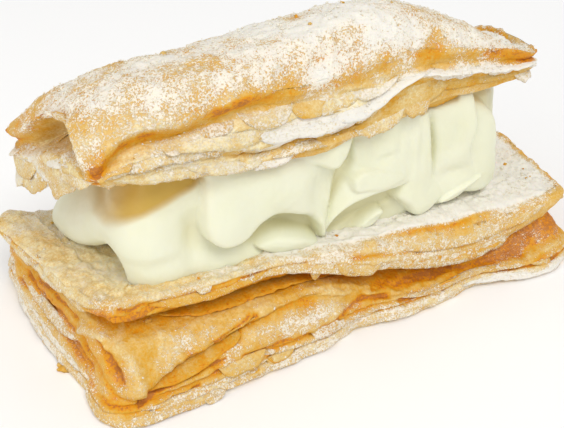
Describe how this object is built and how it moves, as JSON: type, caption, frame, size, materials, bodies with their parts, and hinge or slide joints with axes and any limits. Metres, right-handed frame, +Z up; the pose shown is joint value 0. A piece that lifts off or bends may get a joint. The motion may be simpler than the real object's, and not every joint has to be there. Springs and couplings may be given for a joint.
{
  "type": "mille feuille slice",
  "caption": "Sugar-dusted puff pastry slice with a thick whipped cream filling between a flaky base and a domed lid.",
  "frame": {"origin": "middle of the bounding box at the underside of the base pastry", "axes": "+X along the slice towards its narrow end, -Y towards the open front with the cream showing, +Z up"},
  "size_m": [0.1174, 0.0552, 0.0619],
  "materials": {
    "base_pastry": "dry baked crust with layered flakes",
    "cream_filling": "smooth moist whipped cream",
    "lid_pastry": "baked crust dusted with icing sugar"
  },
  "bodies": {
    "root": {"base_pastry": "base_pastry", "cream_filling": "cream_filling", "lid_pastry": "lid_pastry"}
  },
  "joints": []
}
